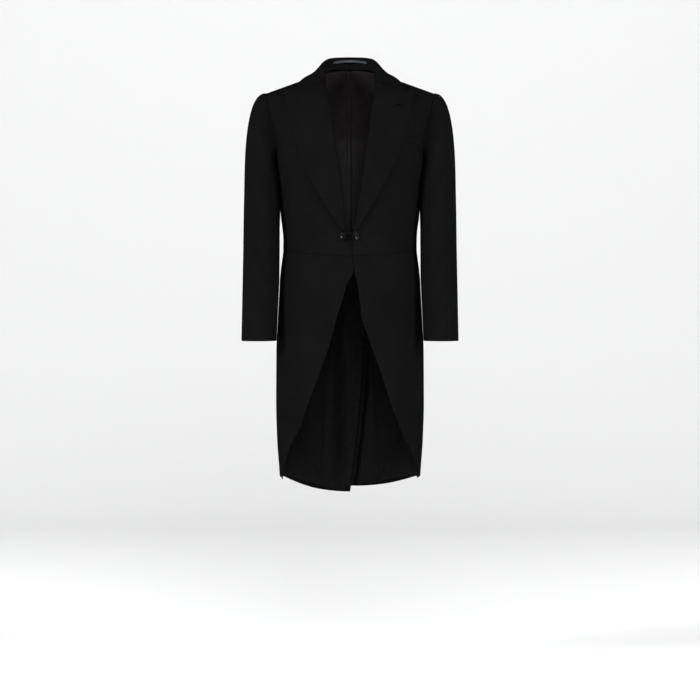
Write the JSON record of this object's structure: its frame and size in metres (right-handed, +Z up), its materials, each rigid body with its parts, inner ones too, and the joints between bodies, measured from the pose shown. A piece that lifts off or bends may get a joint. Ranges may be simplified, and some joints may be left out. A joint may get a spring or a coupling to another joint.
{
  "type": "morning coat",
  "caption": "Black wool morning coat in its worn shape, with peaked lapels, a link-buttoned front, long sleeves and tails cut away from the waist.",
  "frame": {"origin": "the middle of the back of the neck seam, where a wearer's nape or a peg holds the coat", "axes": "+X to the wearer's left, -Y out of the front, +Z up"},
  "size_m": [0.538, 0.2795, 1.1017],
  "materials": {
    "black_wool": "fine matt wool worsted",
    "lining_satin": "smooth satin with a soft sheen",
    "loop_ribbon": "satin ribbon",
    "black_horn": "polished horn look"
  },
  "bodies": {
    "root": {"back_left": "black_wool", "back_lining_left": "lining_satin", "back_lining_right": "lining_satin", "back_right": "black_wool", "breast_welt": "black_wool", "button_link": "black_horn", "collar": "black_wool", "forepart_left": "black_wool", "forepart_right": "black_wool", "front_button_left": "black_horn", "front_button_right": "black_horn", "hanger_loop": "loop_ribbon", "lapel_left": "black_wool", "lapel_right": "black_wool", "sidebody_left": "black_wool", "sidebody_right": "black_wool", "skirt_left": "black_wool", "skirt_lining_left": "lining_satin", "skirt_lining_right": "lining_satin", "skirt_right": "black_wool", "tail_lining_left": "lining_satin", "tail_lining_right": "lining_satin", "topsleeve_left": "black_wool", "topsleeve_right": "black_wool", "undersleeve_left": "black_wool", "undersleeve_right": "black_wool", "waist_button_left": "black_horn", "waist_button_right": "black_horn"}
  },
  "joints": []
}
